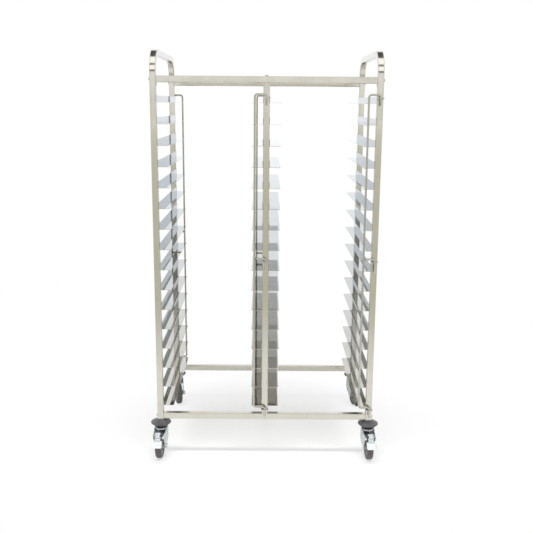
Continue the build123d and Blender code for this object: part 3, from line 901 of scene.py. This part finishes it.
# %% Tyre and hub
tread_angle = np.radians(np.linspace(0, 84, 13))
tyre_half = np.vstack([
    [(32.0, 11.4), (32.4, 12.4), (33.6, 13.1), (35.2, 13.2), (35.6, 13.45), (44.0, 13.45)],
    np.stack([44.6 + 8.2 * np.sin(tread_angle), 5.4 + 8.05 * np.cos(tread_angle)], axis=1), [(52.93, 3.0)],
])
tyre_profile = np.vstack([tyre_half, [(53.0, 0.0)], (tyre_half * [1, -1])[::-1]])
hub_half = np.array([
    (6.6, 20.3), (10.4, 20.3), (11.0, 19.7), (12.0, 4.8), (12.8, 4.0), (24.4, 4.0), (25.3, 4.8), (26.7, 11.2),
    (27.5, 12.0), (31.2, 12.0), (31.9, 11.4),
])
hub_profile = np.vstack([hub_half, (hub_half * [1, -1])[::-1]])
rib_count = 6
rib_ends = (11.2, 26.2)
rib_thick = 2.8
rib_wide = 18.0
rib_edge = 0.7


def wheel(corner, place):
    """The tyre, and the hub with its ribs."""
    tread = skin(place(about_axle(turned(tyre_profile, 96))), close_u=True, close_v=True)
    piece(f"{corner}_tread", [tread], f"{corner}_wheel", tyre_rubber, [f"{corner}_tyre"])
    skins = [skin(place(about_axle(turned(hub_profile, 60))), close_u=True, close_v=True)]
    for rib in range(rib_count):
        angle = 2 * pi * rib / rib_count
        out = np.array([cos(angle), sin(angle), 0])
        side = np.array([-sin(angle), cos(angle), 0])
        one = bar(out * rib_ends[0], out * rib_ends[1], side, rib_thick, rib_wide, rib_edge)
        skins.append(skin(place(about_axle(one)), close_v=True))
    piece(f"{corner}_wheel_centre", skins, f"{corner}_wheel", hub_plastic, [f"{corner}_hub"])


print("tyre radius", tyre_profile[:, 0].max(), "mm")


# %% Brake pedal
def strip(line, widths, thick):
    """A bent plate: line holds (reach, height) points down its middle, widths its width at each. Both ends
    close to a point."""
    line = np.array(line, float)
    points = np.stack([0 * line[:, 0], -line[:, 0], line[:, 1]], axis=1)
    travel = np.gradient(points, axis=0)
    travel /= np.linalg.norm(travel, axis=1, keepdims=True)
    corner, ease = thick * 0.42, thick * 0.02
    outlines = np.array([rounded_rectangle(thick, width, corner, steps=3, ease=ease) for width in widths])
    points = np.concatenate([points[:1], points, points[-1:]])
    travel = np.concatenate([travel[:1], travel, travel[-1:]])
    outlines = np.concatenate([outlines[:1] * 0, outlines, outlines[-1:] * 0])
    return swept(points, travel, (1, 0, 0), outlines)


slope_top = np.array([93.2, 86.9])
slope_toe = np.array([111.6, 72.7])
slope_out = np.array([0.61, 0.79])
plate_width = 36
plate_thick = 2.4
toe_corner = (4.0, 8)


def foot_plate():
    """The broad plate: an upright shoulder that bends at the knee and slopes down to the toe. Its width is
    36, less 8 (1 - sqrt(1 - c^2)) over the last 4 mm, where c grows from 0 to 1, so the corners are round."""
    shoulder = np.linspace([89.9, 95.3], [91.4, 89.6], 4)
    knee = arc((94.4, 89.9), 3.0, 187, 232, 5)
    slope = np.linspace(slope_top, slope_toe, 13)
    line = np.vstack([shoulder, knee, slope[1:]])
    to_end = np.linalg.norm(line - line[-1], axis=1)
    corner = 1 - np.clip(to_end / toe_corner[0], 0, 1)
    widths = plate_width - toe_corner[1] * (1 - np.sqrt(1 - corner ** 2))
    return strip(line, widths, plate_thick)


def grip_bar(share):
    """One of the low bars across the foot plate, at a share of the way down its slope."""
    reach, height = slope_top * (1 - share) + slope_toe * share + slope_out * plate_thick / 2
    return bar((-13, -reach, height), (13, -reach, height), (0, *slope_out), 1.6, 1.0, 0.4)


def along_pin(first, last, size, corner):
    """A bar on the pedal's pin, which lies along X."""
    return bar((first, -pin_reach, pin_height), (last, -pin_reach, pin_height), (0, 0, 1), size, size, corner)


upper_neck = strip([(85.6, 105.6), (87.0, 102.0), (88.8, 97.5), (90.0, 93.0)], [22, 21.5, 21.5, 24], 4.4)
tab_arm = strip([(85.0, 109.0), (82.4, 114.0), (79.4, 118.6), (78.0, 120.4)], [17.4, 16.6, 16.4, 17], 2.6)
upper_tab = strip([(78.6, 118.8), (77.4, 121.6), (75.2, 126.0)], [20.4, 21, 19.6], 2.8)
shoe_web = strip([(85.8, 90.0), (88.0, 90.8), (90.4, 91.4)], [16, 16, 16], 3.0)
barrel = along_pin(-13.4, 13.4, 9.2, 4.4)
shoe = bar((-10, -85.0, 88.4), (10, -85.0, 88.4), (0, 0.809, 0.588), 11.0, 4.0, 1.2)


def brake(corner, place):
    """The pedal's white foot plate; its neck, barrel, web and upper tab in a greyer zinc, painted shade; black
    rings at the barrel's ends, painted shade for the gaps there; and the rubber shoe behind the plate."""
    plate = [foot_plate(), *(grip_bar(share) for share in (0.34, 0.5, 0.66))]
    neck = [upper_neck, barrel, tab_arm, upper_tab, shoe_web]
    # Black rings at the barrel's ends: painted shade for the gaps beside the barrel.
    end_shades = [along_pin(side * 13.2, side * 17, 9.3, 1.6) for side in (-1, 1)]
    parts = [
        ("foot_pedal", plate, pedal_steel, [f"{corner}_brake_pedal"]),
        ("pedal_neck", neck, shaded_pedal_zinc, []),
        ("pin_bushes", end_shades, boot_rubber, []),
        ("brake_shoe", [shoe], boot_rubber, []),
    ]
    for part, grids, finish, replaced in parts:
        skins = [skin(place(grid), close_v=True) for grid in grids]
        piece(f"{corner}_{part}", skins, f"{corner}_brake", finish, replaced)
    dress(bright_zinc, f"{corner}_brake_pin")


print("foot plate", plate_width, "mm wide")


# %% Build all four
for corner in corners:
    place, yaw = corner_place(corner)
    braked = corner.startswith("front")
    moulded_bumper(corner, place)
    pressed_fork(corner, place, braked)
    axle_hardware(corner, place)
    wheel(corner, place)
    if braked:
        brake(corner, place)
    print(corner, "turned", round(yaw, 1), "degrees")

# %% [markdown]
# ## The studio
#
# The photograph is a product shot: white all round, with soft light from above. The bends of the push bars
# mirror the whole room from front to back, so they show where its parts are: a dark gap over the horizon in
# front, two white screens with a gap between them, a dark ceiling, and the white backdrop behind. The world
# repeats those bands by the angle over the front horizon, close to the trolley's middle plane. To the sides
# it is plain white, so the slides stay bright from every view, and looked at directly it is white all round.
# For dull surfaces it counts for two thirds, and a lamp gives the rest, so that the floor keeps a shadow.

# %% World
screen, white_wall, front_gap, screen_gap, ceiling = 1.6, 1.15, 0.12, 0.15, 0.10
room_bands = [
    (-180, white_wall), (7, white_wall), (8, front_gap), (15, front_gap), (17, screen), (37, screen),
    (39, screen_gap), (47, screen_gap), (49, screen), (83, screen), (86, ceiling), (136, ceiling),
    (140, white_wall), (180, white_wall),
]
bands_end = (0.18, 0.26)
dull_share = 0.65
white = (1, 1, 1, 1)


def fill_ramp(ramp):
    """Puts the bands on a colour ramp, whose ends stand for straight behind, seen from below and above."""
    stops = ramp.color_ramp.elements
    stops.remove(stops[1])
    for degrees_up, level in room_bands:
        stop_here = stops[0] if degrees_up == -180 else stops.new((180 + degrees_up) / 360)
        stop_here.color = (level, level, level, 1)


def studio_world():
    """A world whose brightness is a ramp over atan2(z, -y), the angle about the X axis measured up from the
    front. Where |x| passes from 0.18 to 0.26 it turns to plain white."""
    world = bpy.data.worlds.new("studio")
    bpy.context.scene.world = world
    world.use_nodes = True
    tree = world.node_tree
    tree.nodes.clear()
    add = node_adder(tree)
    direction = add("ShaderNodeSeparateXYZ", {0: add("ShaderNodeTexCoord").outputs["Generated"]}).outputs
    forward = add("ShaderNodeMath", {0: direction["Y"], 1: -1.0}, operation="MULTIPLY").outputs[0]
    angle = add("ShaderNodeMath", {0: direction["Z"], 1: forward}, operation="ARCTAN2").outputs[0]
    around = add("ShaderNodeMapRange", {"Value": angle, "From Min": -pi, "From Max": pi}).outputs["Result"]
    ramp = add("ShaderNodeValToRGB", {"Fac": around})
    fill_ramp(ramp)
    sideways = add("ShaderNodeMath", {0: direction["X"]}, operation="ABSOLUTE").outputs[0]
    sides = add("ShaderNodeMapRange", {"Value": sideways, "From Min": bands_end[0], "From Max": bands_end[1]})
    seen = add("ShaderNodeLightPath").outputs
    plain = add("ShaderNodeMath", {0: sides.outputs["Result"], 1: seen["Is Camera Ray"]}, operation="MAXIMUM")
    blend = {"Factor": plain.outputs[0], "A": ramp.outputs["Color"], "B": white}
    level = add("ShaderNodeMix", blend, data_type="RGBA")
    dull = seen["Is Diffuse Ray"]
    strength = add("ShaderNodeMapRange", {"Value": dull, "To Min": 1.0, "To Max": dull_share})
    background = add(
        "ShaderNodeBackground", {"Color": level.outputs["Result"], "Strength": strength.outputs["Result"]}
    )
    add("ShaderNodeOutputWorld", {"Surface": background.outputs["Background"]})


studio_world()
print("bands", len(room_bands))


# %% [markdown]
# ## The floor
#
# The floor is a flat sheet far larger than the trolley. Under the trolley it is a mix of dull paint, which
# takes the shadow, and plain white light, and further off it is that light alone, so that no horizon shows.
# The mix differs for the camera and for mirrors. The posts mirror the floor in front of the trolley, and in
# the photograph they turn from white near their feet to a warm grey above, as if a white sweep ended there.

# %% Floor
floor_half = 40.0
warm_grey = (0.745, 0.735, 0.65)
paint_mirrored = (0.86, 0.86, 0.86)
paint_looked_at = (0.97, 0.97, 0.97)
sweep_edge = (-1.45, -1.25)


def glow_share(add, where, centre, near, far, least):
    """The share of plain white light, which grows from least to one between two distances from a centre."""
    away = add("ShaderNodeVectorMath", {0: where, 1: centre}, operation="DISTANCE").outputs["Value"]
    return add(
        "ShaderNodeMapRange", {"Value": away, "From Min": near, "From Max": far, "To Min": least}
    ).outputs["Result"]


def floor():
    """One square face with the mixed material."""
    material, tree, shader, add = blank("white_floor")
    shader.inputs["Roughness"].default_value = 0.9
    shader.inputs["Specular IOR Level"].default_value = 0.1
    where = add("ShaderNodeTexCoord").outputs["Object"]
    looked_at = add("ShaderNodeLightPath").outputs["Is Camera Ray"]
    paint = blend_colours(add, looked_at, paint_mirrored, paint_looked_at)
    tree.links.new(paint, shader.inputs["Base Color"])
    depth = add("ShaderNodeSeparateXYZ", {"Vector": where}).outputs["Y"]
    sweep = add("ShaderNodeMapRange", {"Value": depth, "From Min": sweep_edge[0], "From Max": sweep_edge[1]})
    whiteness = add("ShaderNodeMath", {0: sweep.outputs["Result"], 1: looked_at}, operation="MAXIMUM")
    colour = blend_colours(add, whiteness.outputs[0], warm_grey, (1, 1, 1))
    glow = add("ShaderNodeEmission", {"Color": colour, "Strength": 1.0})
    share_mirrored = glow_share(add, where, (0, -0.5, 0), near=1.3, far=2.2, least=0.2)
    share_looked_at = glow_share(add, where, (0, -0.2, 0), near=0.42, far=0.92, least=0.5)
    share = add("ShaderNodeMix", {"Factor": looked_at, "A": share_mirrored, "B": share_looked_at})
    mix = add("ShaderNodeMixShader", {0: share.outputs[0], 1: shader.outputs[0], 2: glow.outputs[0]})
    tree.links.new(mix.outputs[0], tree.nodes["Material Output"].inputs["Surface"])
    mesh = bpy.data.meshes.new("floor")
    corners = [(x * floor_half, y * floor_half, 0) for x, y in ((-1, -1), (1, -1), (1, 1), (-1, 1))]
    mesh.from_pydata(corners, [], [(0, 1, 2, 3)])
    made = bpy.data.objects.new("floor", mesh)
    bpy.context.scene.collection.objects.link(made)
    mesh.materials.append(material)


floor()
print("floor", 2 * floor_half, "m wide")


# %% Lamp
lamp_place = Vector((0, -1.0, 3.6))
lamp_aim = Vector((0, -0.4, 0))
lamp_width = 4.2
lamp_depth = 0.5
lamp_power = 118


def strip_lamp():
    """A lamp overhead, wide from side to side and narrow from front to back, so that the beams' shadows have
    edges and the slides' shadows don't. Mirrors don't show it."""
    data = bpy.data.lights.new("overhead", "AREA")
    data.shape = "RECTANGLE"
    data.size, data.size_y = lamp_width, lamp_depth
    data.energy = lamp_power
    made = bpy.data.objects.new("overhead", data)
    bpy.context.scene.collection.objects.link(made)
    made.location = lamp_place
    made.rotation_euler = (lamp_aim - lamp_place).to_track_quat("-Z", "Y").to_euler()
    made.visible_glossy = False


strip_lamp()
print("lamp", lamp_power, "watts")

# %% [markdown]
# ## The camera
#
# The camera stands in front of the trolley at about the height of the push bars and looks down a little. Its
# place, its lens and its slight roll were worked out from the posts' and slides' edges in the photograph.

# %% Camera
camera_side = 0.0040
camera_back = 3.2789
camera_height = 1.45675
look_down = radians(12.154)
roll = radians(0.394)
camera_data = bpy.data.cameras.new("camera")
camera_data.sensor_width = 36.0
camera_data.lens = 51.158
camera = bpy.data.objects.new("camera", camera_data)
bpy.context.scene.collection.objects.link(camera)
camera.matrix_world = (
    Matrix.Translation((camera_side, middle_y - camera_back, camera_height))
    @ Matrix.Rotation(pi / 2 - look_down, 4, "X")
    @ Matrix.Rotation(roll, 4, "Z")
)
bpy.context.scene.camera = camera
bpy.context.scene.view_settings.view_transform = "Standard"
print("camera at", tuple(round(value, 3) for value in camera.matrix_world.translation))
